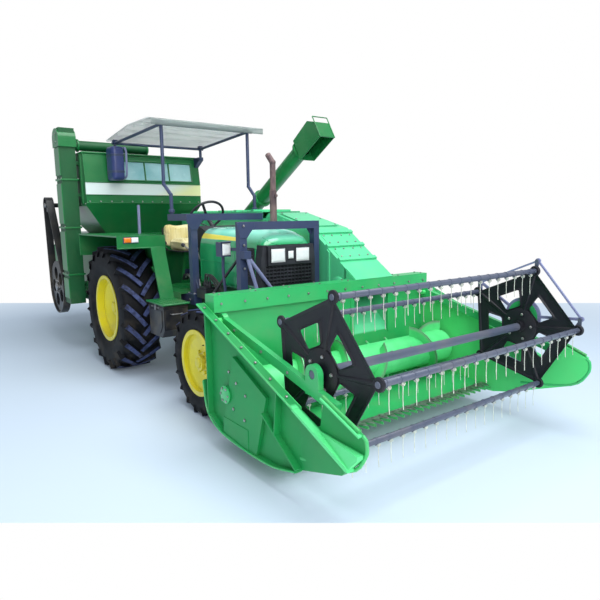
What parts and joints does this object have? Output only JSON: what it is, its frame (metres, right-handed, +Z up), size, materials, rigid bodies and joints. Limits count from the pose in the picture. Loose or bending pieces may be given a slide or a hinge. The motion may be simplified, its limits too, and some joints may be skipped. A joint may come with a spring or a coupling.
{
  "type": "tractor-mounted combine harvester",
  "caption": "Tractor-carried combine harvester: lifting header with pick-up reel and auger, side feeder, rear threshing body, grain tank, elevator and swinging unloading tube.",
  "frame": {"origin": "on the ground under the middle of the whole machine's box", "axes": "+X forward, +Y to the driver's left, +Z up"},
  "size_m": [7.67, 2.548, 2.86],
  "materials": {
    "body_green": "gloss enamel",
    "header_green": "gloss enamel",
    "frame_navy": "satin enamel",
    "rim_yellow": "gloss enamel",
    "black_paint": "satin enamel",
    "bar_grey": "satin enamel",
    "steel": "ground",
    "cast_green": "painted casting",
    "tyre_rubber": "moulded",
    "dark_plastic": "moulded",
    "lamp_clear": "clear moulded",
    "seat_vinyl": "vinyl cover",
    "roof_white": "gloss enamel",
    "window_pane": "smooth sheet",
    "exhaust_steel": "heat-dulled"
  },
  "bodies": {
    "machine": {"main_frame": "frame_navy", "gearbox_housing": "cast_green", "engine_block": "cast_green", "front_support": "cast_green", "front_axle": "cast_green", "hood": "body_green", "grille_nose": "dark_plastic", "lamps": "lamp_clear", "exhaust_pipe": "exhaust_steel", "dash_console": "dark_plastic", "steering_wheel": "dark_plastic", "seat_cushions": "seat_vinyl", "fenders": "body_green", "platform": "body_green", "tool_box": "dark_plastic", "front_portal": "frame_navy", "rear_portal": "frame_navy", "canopy_posts": "frame_navy", "canopy_roof": "roof_white", "upper_feeder": "header_green", "threshing_body": "body_green", "straw_hood": "body_green", "hitch_bar": "frame_navy", "grain_tank": "body_green", "tank_window": "window_pane", "intake_canister": "frame_navy", "elevator": "body_green", "belt_drive": "black_paint", "unload_elbow": "body_green"},
    "steer_left": {"knuckle_left": "cast_green"},
    "steer_right": {"knuckle_right": "cast_green"},
    "wheel_rear_left": {"rear_rim_left": "rim_yellow", "rear_tyre_left": "tyre_rubber"},
    "wheel_rear_right": {"rear_rim_right": "rim_yellow", "rear_tyre_right": "tyre_rubber"},
    "wheel_front_left": {"front_rim_left": "rim_yellow", "front_tyre_left": "tyre_rubber"},
    "wheel_front_right": {"front_rim_right": "rim_yellow", "front_tyre_right": "tyre_rubber"},
    "unloader": {"unloading_tube": "body_green", "unloading_spout": "body_green"},
    "lift_barrel": {"lift_barrels": "frame_navy"},
    "lift_rod": {"lift_rods": "steel"},
    "header": {"header_trough": "header_green", "header_sides": "header_green", "lower_feeder": "header_green", "cutterbar": "header_green"},
    "auger": {"header_auger": "header_green"},
    "arms": {"reel_arms": "header_green"},
    "reel": {"reel_spiders": "black_paint"},
    "ring": {"reel_ring": "black_paint"},
    "tines_1": {"tine_bar_1": "bar_grey"},
    "tines_2": {"tine_bar_2": "bar_grey"},
    "tines_3": {"tine_bar_3": "bar_grey"},
    "tines_4": {"tine_bar_4": "bar_grey"},
    "tines_5": {"tine_bar_5": "bar_grey"}
  },
  "joints": [
    {"name": "wheel_rear_left_spin", "type": "hinge", "parent": "machine", "child": "wheel_rear_left", "pos_m": [-0.535, 0.626, 0.715], "axis": [0, 1, 0], "continuous": true},
    {"name": "wheel_rear_right_spin", "type": "hinge", "parent": "machine", "child": "wheel_rear_right", "pos_m": [-0.535, -0.934, 0.715], "axis": [0, 1, 0], "continuous": true},
    {"name": "steer_left_turn", "type": "hinge", "parent": "machine", "child": "steer_left", "pos_m": [1.495, 0.446, 0.475], "axis": [0, 0, 1], "range_deg": [-35, 35]},
    {"name": "steer_right_turn", "type": "hinge", "parent": "machine", "child": "steer_right", "pos_m": [1.495, -0.754, 0.475], "axis": [0, 0, 1], "range_deg": [-35, 35]},
    {"name": "wheel_front_left_spin", "type": "hinge", "parent": "steer_left", "child": "wheel_front_left", "pos_m": [1.495, 0.591, 0.475], "axis": [0, 1, 0], "continuous": true},
    {"name": "wheel_front_right_spin", "type": "hinge", "parent": "steer_right", "child": "wheel_front_right", "pos_m": [1.495, -0.899, 0.475], "axis": [0, 1, 0], "continuous": true},
    {"name": "unloader_swing", "type": "hinge", "parent": "machine", "child": "unloader", "pos_m": [-1.285, 0.876, 1.455], "axis": [0, 0, 1], "range_deg": [0, 95]},
    {"name": "header_lift", "type": "hinge", "parent": "machine", "child": "header", "pos_m": [0.865, -0.154, 1.665], "axis": [0, -1, 0], "range_deg": [-1.5, 16]},
    {"name": "lift_barrel_tilt", "type": "hinge", "parent": "machine", "child": "lift_barrel", "pos_m": [0.965, -0.154, 0.42], "axis": [0, -1, 0], "range_deg": [-2, 17]},
    {"name": "lift_rod_slide", "type": "slide", "parent": "lift_barrel", "child": "lift_rod", "axis": [0.9998, 0, -0.0179], "range_m": [-0.04, 0.36]},
    {"name": "auger_spin", "type": "hinge", "parent": "header", "child": "auger", "pos_m": [2.415, -0.154, 0.48], "axis": [0, 1, 0], "continuous": true},
    {"name": "reel_arm_lift", "type": "hinge", "parent": "header", "child": "arms", "pos_m": [2.225, -0.154, 0.985], "axis": [0, -1, 0], "range_deg": [-1.5, 16]},
    {"name": "reel_spin", "type": "hinge", "parent": "arms", "child": "reel", "pos_m": [3.307, -0.154, 0.819], "axis": [0, 1, 0], "continuous": true},
    {"name": "ring_spin", "type": "hinge", "parent": "arms", "child": "ring", "pos_m": [3.307, -0.154, 0.899], "axis": [0, 1, 0], "continuous": true},
    {"name": "tines_1_turn", "type": "hinge", "parent": "reel", "child": "tines_1", "pos_m": [3.7851, -0.154, 0.86167], "axis": [0, 1, 0], "continuous": true},
    {"name": "tines_2_turn", "type": "hinge", "parent": "reel", "child": "tines_2", "pos_m": [3.41416, -0.154, 1.28689], "axis": [0, 1, 0], "continuous": true},
    {"name": "tines_3_turn", "type": "hinge", "parent": "reel", "child": "tines_3", "pos_m": [2.89513, -0.154, 1.0655], "axis": [0, 1, 0], "continuous": true},
    {"name": "tines_4_turn", "type": "hinge", "parent": "reel", "child": "tines_4", "pos_m": [2.94529, -0.154, 0.50346], "axis": [0, 1, 0], "continuous": true},
    {"name": "tines_5_turn", "type": "hinge", "parent": "reel", "child": "tines_5", "pos_m": [3.49532, -0.154, 0.37749], "axis": [0, 1, 0], "continuous": true}
  ],
  "couplings": [
    {"joint": "steer_right_turn", "follows": "steer_left_turn", "ratio": 1},
    {"joint": "lift_barrel_tilt", "follows": "header_lift", "ratio": 0.994},
    {"joint": "lift_rod_slide", "follows": "header_lift", "m_per_rad": 1.246},
    {"joint": "ring_spin", "follows": "reel_spin", "ratio": 1},
    {"joint": "tines_1_turn", "follows": "reel_spin", "ratio": -1},
    {"joint": "tines_2_turn", "follows": "reel_spin", "ratio": -1},
    {"joint": "tines_3_turn", "follows": "reel_spin", "ratio": -1},
    {"joint": "tines_4_turn", "follows": "reel_spin", "ratio": -1},
    {"joint": "tines_5_turn", "follows": "reel_spin", "ratio": -1}
  ]
}
